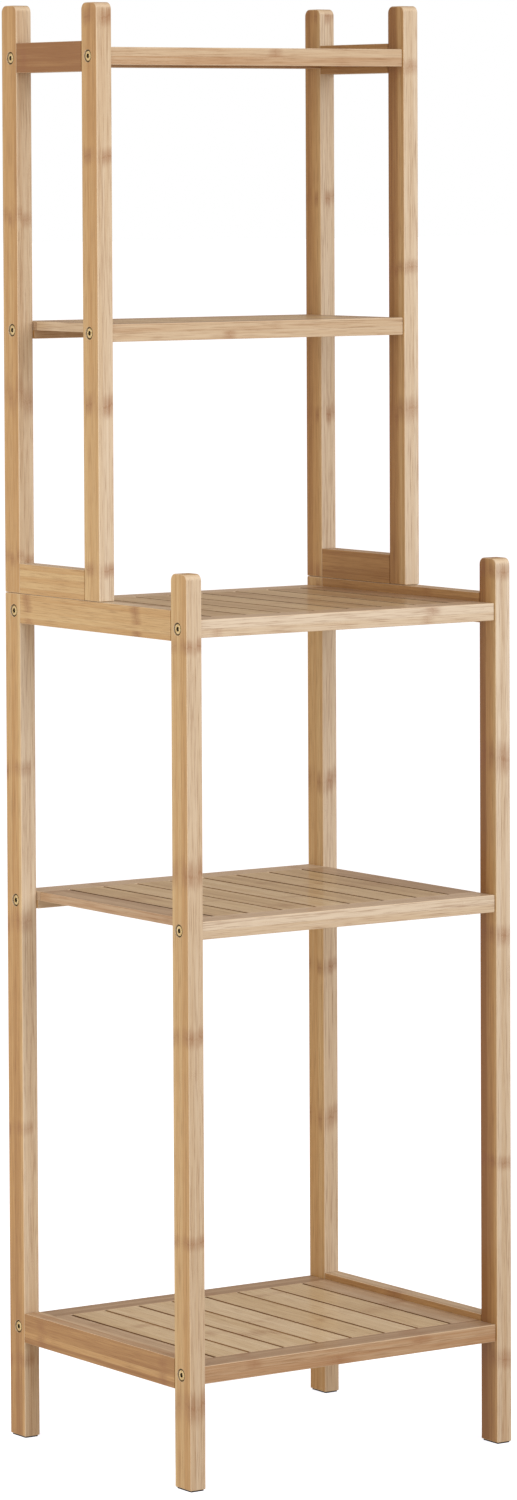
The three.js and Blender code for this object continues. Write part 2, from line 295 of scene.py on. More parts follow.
def add(tree, kind, inputs=(), **settings):
    """Adds one node. inputs pairs a socket with a value, another node, or another node's output."""
    made = tree.nodes.new("ShaderNode" + kind)
    for key, value in settings.items():
        setattr(made, key, value)
    for socket, value in inputs:
        if isinstance(value, bpy.types.Node):
            value = value.outputs[0]
        if isinstance(value, bpy.types.NodeSocket):
            tree.links.new(value, made.inputs[socket])
        else:
            made.inputs[socket].default_value = value
    return made


def new_finish(name):
    """An empty material, and the tree that its nodes go in."""
    finish = bpy.data.materials.new(name)
    finish.use_nodes = True
    finish.node_tree.nodes.clear()
    return finish, finish.node_tree


COMMON_IOR = 1.5                 # wood, lacquer and rubber alike
# The third tone is for eased edges: partly sanded-through wood, partly a painted highlight along them.
FIBRE_TONE, NODE_TONE, SANDED_HIGHLIGHT_TONE = linear(0x8C5C32), linear(0x96603A), linear(0xF0DFC4)

# Cells of a pattern to the metre: across, through and along a strip.
FIBRE_CELLS = (1000, 1000, 24)   # fibre bundles are 0.5 mm across; drawn 1 mm across to show
DRIFT_CELLS = (330, 330, 8)      # colour drifts over 3 mm across a strip and 120 mm along it
RIPPLE_CELLS = (600, 600, 80)    # the ragged edges of a node's mark
STRIP_STEP = (0.37, 0.61, 0.83)  # how far apart in a pattern two strips take theirs

# A point's tone is its board's own, its strip's chance and the drift within the strip.
TONE_START, BOARD_SHARE, STRIP_SHARE, DRIFT_SHARE = -0.20, 0.62, 0.30, 0.48
PALEST_AT, MIDDLE_AT, DARKEST_AT = 0.1, 0.5, 0.9

# Where each mark starts to show, where it shows in full, and how strongly it then covers.
FIBRE_MARK = (0.46, 0.72, 0.52)      # on the height of the fibre pattern
GLUE_MARK = (0.476, 0.496, 0.3)      # on the share of a strip's width from its middle
END_GRAIN_MARK = (0.55, 0.95, 0.15)  # on how squarely a face lies across the grain
# The eased edges' mark, partly sanded wood and partly a painted highlight:
SANDED_HIGHLIGHT_MARK = (0.985, 0.90, 0.6)     # on how squarely a face lies to its nearest axis
EDGE_FACE = (0.3, 0.9)               # on how squarely a face lies to the board's width

# Nodes come at uneven heights along a culm, a little staggered from strip to strip.
CULM_CELLS = 4                   # to the metre
CULM_UNEVENNESS = 140 * MM
NODE_STAGGER = 10 * MM
NODE_RAGGEDNESS = 8 * MM
NODE_BAND = (0.5 * MM, 4 * MM)   # from the node's middle: full strength, and nothing left
NODE_HALO = (3 * MM, 16 * MM)
HALO_SHARE = 0.75                # of the band's strength
FAINTEST_NODE = 0.15             # share of a node's mark left in the strips that hardly show it
PLAIN_STRIPS = (0.0, 0.8)        # chances between the faintest mark and the full one

# Clear satin lacquer over a slightly raised grain.
FIBRE_RANGE = (0.3, 0.7)         # the fibre pattern from its hollows to its crests
LACQUER_ROUGHNESS = (0.36, 0.50)
LACQUER_COAT, COAT_ROUGHNESS = 0.35, 0.14
GRAIN_STRENGTH, GRAIN_HEIGHT = 0.35, 0.12 * MM
NODE_RELIEF, GLUE_RELIEF = 0.8, -1.5


def how_squarely(tree, normal, way):
    """How squarely a face lies to a direction: 1 when square on, and 0 when side on."""
    lie = add(tree, "VectorMath", [(0, normal), (1, way)], operation="DOT_PRODUCT")
    return add(tree, "Math", [(0, lie.outputs["Value"])], operation="ABSOLUTE")


def find_strip(tree, place, board, strip_across, strip_through):
    """A point's place in its board, counted in strips across and through it, and its strip."""
    across = add(tree, "Math", [(0, place[0]), (1, 1 / strip_across), (2, 0.5)],
                 operation="MULTIPLY_ADD")
    through = add(tree, "Math", [(0, place[1]), (1, 1 / strip_through), (2, 0.5)],
                  operation="MULTIPLY_ADD")
    column = add(tree, "Math", [(0, across)], operation="FLOOR")
    row = add(tree, "Math", [(0, through)], operation="FLOOR")
    return across, through, add(tree, "CombineXYZ", [(0, column), (1, row), (2, board)])


def distance_to_node(tree, place, own_place, board, stagger, node_spacing):
    """How far a point is from the nearest node of its strip."""
    culm = add(tree, "Math", [(0, place[2]), (1, CULM_CELLS), (2, board)], operation="MULTIPLY_ADD")
    culm = add(tree, "TexNoise", [("W", culm), ("Scale", 1), ("Detail", 0)], noise_dimensions="1D")
    ripple_place = add(tree, "Mapping", [(0, own_place), ("Scale", RIPPLE_CELLS)])
    ripple = add(tree, "TexNoise", [(0, ripple_place), ("Scale", 1), ("Detail", 1)])
    height = place[2]
    for shift, most in ((culm, CULM_UNEVENNESS), (stagger, NODE_STAGGER), (ripple, NODE_RAGGEDNESS)):
        height = add(tree, "Math", [(0, shift), (1, most), (2, height)], operation="MULTIPLY_ADD")
    start = add(tree, "TexWhiteNoise", [("W", board)], noise_dimensions="1D")
    turns = add(tree, "Math", [(0, height), (1, 1 / node_spacing), (2, start)],
                operation="MULTIPLY_ADD")
    turns = add(tree, "Math", [(0, turns)], operation="FRACT")
    distance = add(tree, "Math", [(0, turns), (1, 0.5)], operation="SUBTRACT")
    distance = add(tree, "Math", [(0, distance), (1, node_spacing)], operation="MULTIPLY")
    return add(tree, "Math", [(0, distance)], operation="ABSOLUTE")


def node_marks(tree, distance, plainness, node_cover):
    """The brown band at a node and the softer stain around it, fainter in some strips."""
    marks = []
    for (full, gone), cover in ((NODE_BAND, node_cover), (NODE_HALO, HALO_SHARE * node_cover)):
        marks.append(add(tree, "MapRange", [(0, distance), (1, full), (2, gone), (3, cover), (4, 0.0)],
                         interpolation_type="SMOOTHSTEP"))
    mark = add(tree, "Math", [(0, marks[0]), (1, marks[1])], operation="MAXIMUM")
    faint, full = PLAIN_STRIPS
    in_strip = add(tree, "MapRange", [
        (0, plainness), (1, faint), (2, full), (3, FAINTEST_NODE), (4, 1.0)])
    return add(tree, "Math", [(0, mark), (1, in_strip)], operation="MULTIPLY")


def glue_lines(tree, across, through):
    """The lines of glue between strips, a third of a millimetre wide."""
    starts, full, cover = GLUE_MARK
    lines = []
    for way in (across, through):
        part = add(tree, "Math", [(0, way)], operation="FRACT")
        part = add(tree, "Math", [(0, part), (1, 0.5)], operation="SUBTRACT")
        part = add(tree, "Math", [(0, part)], operation="ABSOLUTE")
        lines.append(add(tree, "MapRange", [
            (0, part), (1, starts), (2, full), (3, 0.0), (4, cover)]))
    return add(tree, "Math", [(0, lines[0]), (1, lines[1])], operation="MAXIMUM")


def eased_edges(tree, normal):
    """Where a face lies between two axes, as the rounded edge of a board does: there the wood is
    paler, partly sanded and partly a painted highlight.
    """
    starts, full, cover = SANDED_HIGHLIGHT_MARK
    facing = add(tree, "VectorMath", [(0, normal)], operation="ABSOLUTE")
    facing = add(tree, "SeparateXYZ", [(0, facing)]).outputs
    square_on = add(tree, "Math", [(0, facing[0]), (1, facing[1])], operation="MAXIMUM")
    square_on = add(tree, "Math", [(0, square_on), (1, facing[2])], operation="MAXIMUM")
    return add(tree, "MapRange", [
        (0, square_on), (1, starts), (2, full), (3, 0.0), (4, cover)])


def laminated_bamboo(name, flat_tones, edge_tones, strip_across, strip_through, node_spacing,
                     node_cover):
    """Laminated moso bamboo, planed, sanded and sprayed with clear satin lacquer.

    Strips of slightly different colour run the length of a board. Fine brown fibres run along each
    strip, and the culm's nodes cross it as short brown bands, a little staggered between strips.
    """
    finish, tree = new_finish(name)
    stock = add(tree, "Attribute", attribute_name="stock").outputs["Vector"]
    board = add(tree, "Attribute", attribute_name="board").outputs["Fac"]
    across_way = add(tree, "Attribute", attribute_name="across").outputs["Vector"]
    grain_way = add(tree, "Attribute", attribute_name="grain").outputs["Vector"]
    board_tone = add(tree, "Attribute", attribute_name="tone").outputs["Fac"]
    normal = add(tree, "NewGeometry").outputs["True Normal"]
    place = add(tree, "SeparateXYZ", [(0, stock)]).outputs

    # Chance gives each strip its tone, its nodes' stagger and how plainly they show.
    across, through, strip = find_strip(tree, place, board, strip_across, strip_through)
    strip_chance = add(tree, "TexWhiteNoise", [("Vector", strip)], noise_dimensions="3D")
    chance = add(tree, "SeparateColor", [(0, strip_chance.outputs["Color"])]).outputs

    # Each strip takes its fibres from its own part of the pattern.
    own = add(tree, "VectorMath", [(0, strip), (1, STRIP_STEP)], operation="MULTIPLY")
    own_place = add(tree, "VectorMath", [(0, stock), (1, own)], operation="ADD")
    fibre_place = add(tree, "Mapping", [(0, own_place), ("Scale", FIBRE_CELLS)])
    fibres = add(tree, "TexNoise",
                 [(0, fibre_place), ("Scale", 1), ("Detail", 3), ("Roughness", 0.6)])
    drift_place = add(tree, "Mapping", [(0, own_place), ("Scale", DRIFT_CELLS)])
    drift = add(tree, "TexNoise", [(0, drift_place), ("Scale", 1), ("Detail", 2)])

    # A board's wide faces take its flat tones and its edges its edge tones: paler backs with a painted
    # sheen, and on slot sides a painted shade.
    tone = add(tree, "Math", [(0, board_tone), (1, BOARD_SHARE), (2, TONE_START)],
               operation="MULTIPLY_ADD")
    tone = add(tree, "Math", [(0, chance[0]), (1, STRIP_SHARE), (2, tone)], operation="MULTIPLY_ADD")
    tone = add(tree, "Math", [(0, drift), (1, DRIFT_SHARE), (2, tone)], operation="MULTIPLY_ADD")
    ramps = []
    for palest, middle, darkest in (flat_tones, edge_tones):
        ramp = add(tree, "ValToRGB", [(0, tone)])
        steps = ramp.color_ramp.elements
        steps[0].position, steps[0].color = PALEST_AT, linear(palest)
        steps[1].position, steps[1].color = DARKEST_AT, linear(darkest)
        steps.new(MIDDLE_AT).color = linear(middle)
        ramps.append(ramp)
    starts, full = EDGE_FACE
    on_edge = add(tree, "MapRange", [
        (0, how_squarely(tree, normal, across_way)), (1, starts), (2, full), (3, 0.0), (4, 1.0)])
    colour = add(tree, "Mix", [(0, on_edge), (6, ramps[0]), (7, ramps[1])], data_type="RGBA")

    # Over it lie the fibres' streaks, the nodes, the glue lines, the end grain, which drinks the
    # lacquer and is darker, and the eased edges, paler: partly sanded wood, partly a painted
    # highlight.
    starts, full, cover = FIBRE_MARK
    streaks = add(tree, "MapRange", [(0, fibres), (1, starts), (2, full), (3, 0.0), (4, cover)],
                  interpolation_type="SMOOTHSTEP")
    distance = distance_to_node(tree, place, own_place, board, chance[1], node_spacing)
    nodes = node_marks(tree, distance, chance[2], node_cover)
    glue = glue_lines(tree, across, through)
    starts, full, cover = END_GRAIN_MARK
    end_grain = add(tree, "MapRange", [
        (0, how_squarely(tree, normal, grain_way)), (1, starts), (2, full), (3, 0.0), (4, cover)])
    eased = eased_edges(tree, normal)
    for mark, mark_tone in ((streaks, FIBRE_TONE), (nodes, NODE_TONE), (glue, FIBRE_TONE),
                            (end_grain, FIBRE_TONE), (eased, SANDED_HIGHLIGHT_TONE)):
        colour = add(tree, "Mix", [(0, mark), (6, colour.outputs[2]), (7, mark_tone)],
                     data_type="RGBA")

    # The lacquer is rougher over the fibres, which stand up a little, and sinks at glue lines.
    hollow, crest = FIBRE_RANGE
    satin, dull = LACQUER_ROUGHNESS
    roughness = add(tree, "MapRange", [
        (0, fibres), (1, hollow), (2, crest), (3, satin), (4, dull)])
    height = add(tree, "Math", [(0, nodes), (1, NODE_RELIEF), (2, fibres)], operation="MULTIPLY_ADD")
    height = add(tree, "Math", [(0, glue), (1, GLUE_RELIEF), (2, height)], operation="MULTIPLY_ADD")
    relief = add(tree, "Bump", [
        ("Strength", GRAIN_STRENGTH), ("Distance", GRAIN_HEIGHT), ("Height", height)])
    shader = add(tree, "BsdfPrincipled", [
        ("Base Color", colour.outputs[2]), ("Roughness", roughness), ("Normal", relief),
        ("IOR", COMMON_IOR), ("Coat Weight", LACQUER_COAT), ("Coat Roughness", COAT_ROUGHNESS),
        ("Coat IOR", COMMON_IOR)])
    add(tree, "OutputMaterial", [(0, shader)])
    return finish


PATCH_CELLS, TUMBLING_CELLS = 520, 3200       # to the metre: 2 mm and 0.3 mm across
# The last of these is a near-black painted shade for the head's rim and socket.
RUBBED_BRASS, PLAIN_BRASS, BRASS_SHADE = linear(0xF4E6BC), linear(0xC9AE73), linear(0x120E09)
HEAD_FLAT = (0.94, 0.995)                     # how squarely a face lies to the bolt's axis
# How fully the rim and socket take that painted shade.
RIM_SHADE = 0.94
TUMBLING_DEPTH = 0.04 * MM


def antique_brass():
    """Zinc-plated steel with an antique brass colour, turned and tumbled.

    The head is bright where it has rubbed and plainer brass elsewhere; its rounded rim and hex socket
    are painted near-black as shade.
    """
    finish, tree = new_finish("antique_brass_plate")
    place = add(tree, "TexCoord").outputs["Object"]
    patches = add(tree, "TexNoise", [(0, place), ("Scale", PATCH_CELLS), ("Detail", 3)])
    marks = add(tree, "TexNoise", [(0, place), ("Scale", TUMBLING_CELLS), ("Detail", 2)])
    ramp = add(tree, "ValToRGB", [(0, patches)])
    steps = ramp.color_ramp.elements
    steps[0].position, steps[0].color = 0.35, PLAIN_BRASS
    steps[1].position, steps[1].color = 0.62, RUBBED_BRASS
    # The flat of the head keeps its brass; its rounded rim and the socket are painted near-black, a
    # painted shade for the shadow in the counterbore and in the socket.
    normal = add(tree, "NewGeometry").outputs["True Normal"]
    facing = add(tree, "VectorMath", [(0, normal)], operation="ABSOLUTE")
    facing = add(tree, "SeparateXYZ", [(0, facing)]).outputs
    slanted, flat = HEAD_FLAT
    rim_shade_mask = add(tree, "MapRange", [
        (0, facing[0]), (1, slanted), (2, flat), (3, RIM_SHADE), (4, 0.0)])
    colour = add(tree, "Mix", [(0, rim_shade_mask), (6, ramp), (7, BRASS_SHADE)], data_type="RGBA")
    roughness = add(tree, "MapRange", [(0, patches), (1, 0.3), (2, 0.7), (3, 0.38), (4, 0.22)])
    relief = add(tree, "Bump", [("Strength", 0.25), ("Distance", TUMBLING_DEPTH), ("Height", marks)])
    shader = add(tree, "BsdfPrincipled", [
        ("Base Color", colour.outputs[2]), ("Metallic", 1.0), ("Roughness", roughness),
        ("Normal", relief)])
    add(tree, "OutputMaterial", [(0, shader)])
    return finish


PIT_CELLS, RUB_CELLS = 1800, 160              # to the metre: 0.6 mm and 6 mm across
DARK_RUBBER, RUBBED_RUBBER = linear(0x202228), linear(0x34363D)
PIT_DEPTH = 0.1 * MM


def pad_rubber():
    """Dark EVA rubber sheet, die-cut: matt, finely pitted, greyer where it has rubbed."""
    finish, tree = new_finish("die_cut_eva_rubber")
    place = add(tree, "TexCoord").outputs["Object"]
    pits = add(tree, "TexNoise", [(0, place), ("Scale", PIT_CELLS), ("Detail", 3)])
    rubs = add(tree, "TexNoise", [(0, place), ("Scale", RUB_CELLS), ("Detail", 2)])
    ramp = add(tree, "ValToRGB", [(0, rubs)])
    steps = ramp.color_ramp.elements
    steps[0].position, steps[0].color = 0.35, DARK_RUBBER
    steps[1].position, steps[1].color = 0.70, RUBBED_RUBBER
    roughness = add(tree, "MapRange", [(0, rubs), (1, 0.3), (2, 0.7), (3, 0.9), (4, 0.75)])
    relief = add(tree, "Bump", [("Strength", 0.4), ("Distance", PIT_DEPTH), ("Height", pits)])
    shader = add(tree, "BsdfPrincipled", [
        ("Base Color", ramp), ("Roughness", roughness), ("Normal", relief), ("IOR", COMMON_IOR)])
    add(tree, "OutputMaterial", [(0, shader)])
    return finish


FLECK_CELLS = (1600, 1600, 160)               # to the metre: 0.6 mm across, 6 mm long
PALE_BEECH, BEECH_FLECK = linear(0xE2C89C), linear(0xB78F5E)
FLECK_DEPTH = 0.1 * MM


def bare_beech():
    """Beech dowel rod, turned and left bare: pale, matt, with short fine flecks along the grain."""
    finish, tree = new_finish("bare_turned_beech")
    place = add(tree, "TexCoord").outputs["Object"]
    fleck_place = add(tree, "Mapping", [(0, place), ("Scale", FLECK_CELLS)])
    flecks = add(tree, "TexNoise", [(0, fleck_place), ("Scale", 1), ("Detail", 3)])
    ramp = add(tree, "ValToRGB", [(0, flecks)])
    steps = ramp.color_ramp.elements
    steps[0].position, steps[0].color = 0.35, PALE_BEECH
    steps[1].position, steps[1].color = 0.75, BEECH_FLECK
    roughness = add(tree, "MapRange", [(0, flecks), (1, 0.3), (2, 0.7), (3, 0.6), (4, 0.75)])
    relief = add(tree, "Bump", [("Strength", 0.3), ("Distance", FLECK_DEPTH), ("Height", flecks)])
    shader = add(tree, "BsdfPrincipled", [
        ("Base Color", ramp), ("Roughness", roughness), ("Normal", relief), ("IOR", COMMON_IOR)])
    add(tree, "OutputMaterial", [(0, shader)])
    return finish


PAPER_SHADE, PAPER_WHITE = linear(0xF7F7F7), linear(0xFBFBFB)
PAPER_GLOW, GLOW_STRENGTH = linear(0xE8F1FF), 0.84


def studio_floor():
    """Pale matt studio paper with a faint mottle, lit from beneath so that it stays white."""
    finish, tree = new_finish("matt_studio_paper")
    place = add(tree, "TexCoord").outputs["Object"]
    mottle = add(tree, "TexNoise", [(0, place), ("Scale", 3), ("Detail", 3)])
    ramp = add(tree, "ValToRGB", [(0, mottle)])
    steps = ramp.color_ramp.elements
    steps[0].position, steps[0].color = 0.3, PAPER_SHADE
    steps[1].position, steps[1].color = 0.7, PAPER_WHITE
    shader = add(tree, "BsdfPrincipled", [
        ("Base Color", ramp), ("Roughness", 0.9), ("Emission Color", PAPER_GLOW),
        ("Emission Strength", GLOW_STRENGTH)])
    add(tree, "OutputMaterial", [(0, shader)])
    return finish


# Each mix from its palest tone to its darkest.
GOLDEN = (0xE0C695, 0xCCA56E, 0x9B6B38)
# Edge faces: the strips' paler backs, with a painted sheen for the whitish glare that light lays on
# these faces.
PALE_BACKS_AND_SHEEN = (0xE8DCC8, 0xD6C2A5, 0xB08258)
# Slat tops: beige greyed towards white, partly the slats' own colour, partly a painted sheen for the
# glare seen on them at a grazing angle.
BEIGE_AND_SHEEN = (0xEBDDC0, 0xDAC6A0, 0xB59A76)
MAUVE = (0xDDCCB6, 0xC6AF94, 0xA2866C)
# Slot sides: dark browns that paint the shade in the gaps between slats and at the ends of the slots.
SLOT_SHADE = (0xC8A274, 0x8A6743, 0x3A2716)

FRAME_STRIP = {"strip_across": 6.8 * MM, "strip_through": 6.8 * MM}
DECK_STRIP = {"strip_across": 7.3 * MM, "strip_through": 12 * MM}
post_bamboo = laminated_bamboo(
    "lacquered_bamboo_posts", GOLDEN, PALE_BACKS_AND_SHEEN, node_spacing=215 * MM, node_cover=0.62, **FRAME_STRIP)
side_rail_bamboo = laminated_bamboo(
    "lacquered_bamboo_side_rails", GOLDEN, PALE_BACKS_AND_SHEEN, node_spacing=230 * MM, node_cover=0.6, **FRAME_STRIP)
strip_bamboo = laminated_bamboo(
    "lacquered_bamboo_end_strips", MAUVE, PALE_BACKS_AND_SHEEN, node_spacing=260 * MM, node_cover=0.45, **DECK_STRIP)
slat_bamboo = laminated_bamboo(
    "lacquered_bamboo_slats", BEIGE_AND_SHEEN, PALE_BACKS_AND_SHEEN, node_spacing=260 * MM, node_cover=0.45, **DECK_STRIP)
# The walls of the gaps between slats, painted darker as the shade that falls in them.
slot_shade_bamboo = laminated_bamboo(
    "slot_sides_painted_shade", BEIGE_AND_SHEEN, SLOT_SHADE, node_spacing=260 * MM, node_cover=0.45, **DECK_STRIP)
bearer_bamboo = laminated_bamboo(
    "lacquered_bamboo_bearers", GOLDEN, PALE_BACKS_AND_SHEEN, node_spacing=240 * MM, node_cover=0.5, **DECK_STRIP)
bolt_brass = antique_brass()
foot_rubber = pad_rubber()
dowel_beech = bare_beech()


def finish_piece(piece, finish, slot, *nodes):
    """Gives a piece its finish, its body and the CAD nodes that it stands for; slot is not used."""
    if not piece.data.materials:
        piece.data.materials.append(finish)
    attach(piece, "root")
    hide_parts(*nodes)


# ---------------------------------------------------------------- bolts

def bolt_name(shelf, side, end):
    """The CAD node of one bolt."""
    return f"shelf_{shelf}_{side}_{end}_bolt"


def make_bolt(low, high):
    """A flat-headed connector bolt, its head on the left: rounded rim, hex socket, plain shank."""
    radius = (high.y - low.y) / 2
    start = Vector((low.x, (low.y + high.y) / 2, (low.z + high.z) / 2))
    reach = high.x - low.x
    # The head's rim is rounded in three steps outside and one under it.
    bolt = turned("bolt", start, 1, [
        (0.0, radius - 1.3 * HEAD_EDGE),
        (0.15 * HEAD_EDGE, radius - 0.7 * HEAD_EDGE),
        (0.5 * HEAD_EDGE, radius - 0.2 * HEAD_EDGE),
        (HEAD_EDGE, radius),
        (HEAD_HEIGHT - 0.4 * HEAD_EDGE, radius),
        (HEAD_HEIGHT, radius - 0.4 * HEAD_EDGE),
        (HEAD_HEIGHT, SHANK_RADIUS),
        (reach - SHANK_TIP, SHANK_RADIUS),
        (reach, SHANK_RADIUS - SHANK_TIP),
    ])
    socket_radius = HEX_KEY_SIZE / math.sqrt(3)
    socket = turned("hex", start, 1, [
        (-CUT_MARGIN, socket_radius),
        (0.5 * HEX_SOCKET_DEPTH, socket_radius),
        (HEX_SOCKET_DEPTH, 0.3 * socket_radius),
    ], sides=6)
    cut_away(bolt, socket)
    return bolt


first_low, first_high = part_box(bolt_name(1, "left", "front"))
first_place = (first_low + first_high) / 2
pattern_bolt = make_bolt(first_low, first_high)
for shelf in range(1, SHELF_COUNT + 1):
    for side in ("left", "right"):
        for end in ("front", "rear"):
            node = bolt_name(shelf, side, end)
            low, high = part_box(node)
            shift = (low + high) / 2 - first_place
            if side == "left":
                bolt = copied(pattern_bolt, node + "_brass", shift)
            else:
                shift.x = 0.0
                bolt = copied(pattern_bolt, node + "_brass", shift, flip=MIDDLE)
            take(bolt)
            bpy.ops.object.shade_smooth_by_angle(angle=SMOOTH_ANGLE)
            finish_piece(bolt, bolt_brass, "bolt_brass", node)
bpy.data.objects.remove(pattern_bolt, do_unlink=True)


# ---------------------------------------------------------------- posts

def bolt_hole(bolt_low, bolt_high, inner_face, outer_face):
    """The hole for one bolt through a left-hand post: a mouth, a counterbore and a bore."""
    head_radius = (bolt_high.y - bolt_low.y) / 2 + HEAD_CLEARANCE
    start = Vector((outer_face, (bolt_low.y + bolt_high.y) / 2, (bolt_low.z + bolt_high.z) / 2))
    floor = bolt_low.x - outer_face + HEAD_HEIGHT + CLEARANCE
    return turned("hole", start, 1, [
        (-CUT_MARGIN, head_radius + HOLE_MOUTH),
        (0.0, head_radius + HOLE_MOUTH),
        (0.3 * HOLE_MOUTH, head_radius + 0.3 * HOLE_MOUTH),
        (HOLE_MOUTH, head_radius),
        (floor, head_radius),
        (floor, SHANK_RADIUS + CLEARANCE),
        (inner_face - outer_face + CUT_MARGIN, SHANK_RADIUS + CLEARANCE),
    ])


def mortise(rail_low, rail_high, post_low, post_high):
    """The pocket in a post for a side rail's tenon."""
    middle = (rail_low + rail_high) / 2
    half_height = (rail_high.z - rail_low.z) / 2 - TENON_SHOULDER + CLEARANCE
    half_width = TENON_THICKNESS / 2 + CLEARANCE
    if middle.y > (post_low.y + post_high.y) / 2:
        near, far = rail_low.y - CLEARANCE, post_high.y + CUT_MARGIN
    else:
        near, far = post_low.y - CUT_MARGIN, rail_high.y + CLEARANCE
    return block("pocket", Vector((middle.x - half_width, near, middle.z - half_height)),
                 Vector((middle.x + half_width, far, middle.z + half_height)))


def make_post(name, node, rounded, bolts, rails):
    """A left-hand post: sawn, its top rounded front and back, edges eased, then bored and mortised."""
    low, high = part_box(node)
    post = block(name, low, high)
    if rounded:
        ease(post, POST_TOP_RADIUS, POST_TOP_STEPS,
             lambda middle, run: abs(run.x) > FACING and middle.z > high.z - POST_TOP_RADIUS)
    ease_square_edges(post, POST_EDGE)
    for bolt in bolts:
        cut_away(post, bolt_hole(*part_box(bolt), high.x, low.x))
    for rail in rails:
        cut_away(post, mortise(*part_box(rail), low, high))
    settle(post)
    return post


# Each left-hand post: rounded top, which end, its shelves, then for the left-hand and for the
# right-hand board its tone at the foot, its tone at the top, and how much darker its front is.
POSTS = [
    ("lower_left_front_post", True, "front", (1, 2, 3), (0.2, 0.1, 0.4), (1.1, 0.6, -0.55)),
    ("lower_left_rear_post", False, "rear", (1, 2, 3), (0.75, 0.15, -0.15), (0.5, 0.1, -0.15)),
    ("upper_left_front_post", True, "front", (4, 5), (0.1, 0.6, 0.1), (0.5, 0.7, -0.55)),
    ("upper_left_rear_post", True, "rear", (4, 5), (0.3, 0.45, 0), (0.5, 0.5, -0.35)),
]
for node, rounded, end, shelves, left_tones, right_tones in POSTS:
    level = node.split("_")[0]
    bolts = [bolt_name(shelf, "left", end) for shelf in shelves]
    rails = [f"{level}_left_top_rail", f"{level}_left_bottom_rail"]
    left = make_post(node + "_bamboo", node, rounded, bolts, rails)
    right_node = node.replace("left", "right")
    right = copied(left, right_node + "_bamboo", flip=MIDDLE)
    for post, stands_for, tones in ((left, node, left_tones), (right, right_node, right_tones)):
        mark_grain(post, Z, *tones)
        finish_piece(post, post_bamboo, "post_bamboo", stands_for)


# ---------------------------------------------------------------- side rails

def make_side_rail(name, node):
    """A side rail between two posts: edges eased, a stub tenon drawn out of each end."""
    low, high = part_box(node)
    inward = Vector((0, TENON_REACH, 0))
    rail = block(name, low + inward, high - inward)
    shoulder = (high.x - low.x - TENON_THICKNESS) / 2
    tenon_height = high.z - low.z - 2 * TENON_SHOULDER
    share = tenon_height / (high.z - low.z - 2 * shoulder)
    for way in (-1, 1):
        pick(rail, "FACE", lambda centre, normal: normal.y * way > FACING)
        bpy.ops.mesh.inset(thickness=shoulder)
        bpy.ops.transform.resize(value=(1, 1, share))
        bpy.ops.mesh.extrude_region_move(TRANSFORM_OT_translate={"value": Y * way * TENON_REACH})
        bpy.ops.object.mode_set(mode="OBJECT")
    ease(rail, RAIL_EDGE, EASE_STEPS, lambda middle, run: abs(run.y) > FACING and (
        abs(middle.z - (low.z + high.z) / 2) > tenon_height / 2 + TENON_SHOULDER / 2))
    settle(rail)
    return rail


# The tone of each side rail's board.
RAIL_TONES = {
    "upper_left_top_rail": 1.3, "upper_left_bottom_rail": 0.1,
    "upper_right_top_rail": 0.8, "upper_right_bottom_rail": 0.7,
    "lower_left_top_rail": 0.2, "lower_left_bottom_rail": 0.7,
    "lower_right_top_rail": 0.6, "lower_right_bottom_rail": 0.5,
}
for level in ("lower", "upper"):
    pattern_node = f"{level}_left_top_rail"
    pattern_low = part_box(pattern_node)[0]
    pattern_rail = make_side_rail("rail", pattern_node)
    for side in ("left", "right"):
        for height in ("top", "bottom"):
            node = f"{level}_{side}_{height}_rail"
            rail = copied(pattern_rail, node + "_bamboo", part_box(node)[0] - pattern_low)
            mark_grain(rail, Y, RAIL_TONES[node])
            finish_piece(rail, side_rail_bamboo, "side_rail_bamboo", node)
    bpy.data.objects.remove(pattern_rail, do_unlink=True)


# ---------------------------------------------------------------- shelves

# The tone of each shelf's front and rear strips and of the bearers under them, and its slats'.
SHELF_TONES = {1: (0.9, 0.2), 2: (-0.1, 0.5), 3: (0.0, 0.75), 4: (0.5, 0.3), 5: (0.8, 0.5)}
SLAT_TONE_STEPS = (0.15, 0.16, -0.12, 0.10, -0.2, 0.16, -0.05, 0.22, 0.15)
BEARER_TONE_STEP = 0.15


def paint_slot_shade(part, finish, wanted):
    """Finishes a part of a deck, and paints its wanted faces, the walls of the gaps between slats and
    strips, in dark browns as a painted shade.
    """
    part.data.materials.append(finish)
    part.data.materials.append(slot_shade_bamboo)
    pick(part, "FACE", wanted)
    part.active_material_index = 1
    bpy.ops.object.material_slot_assign()
    bpy.ops.object.mode_set(mode="OBJECT")


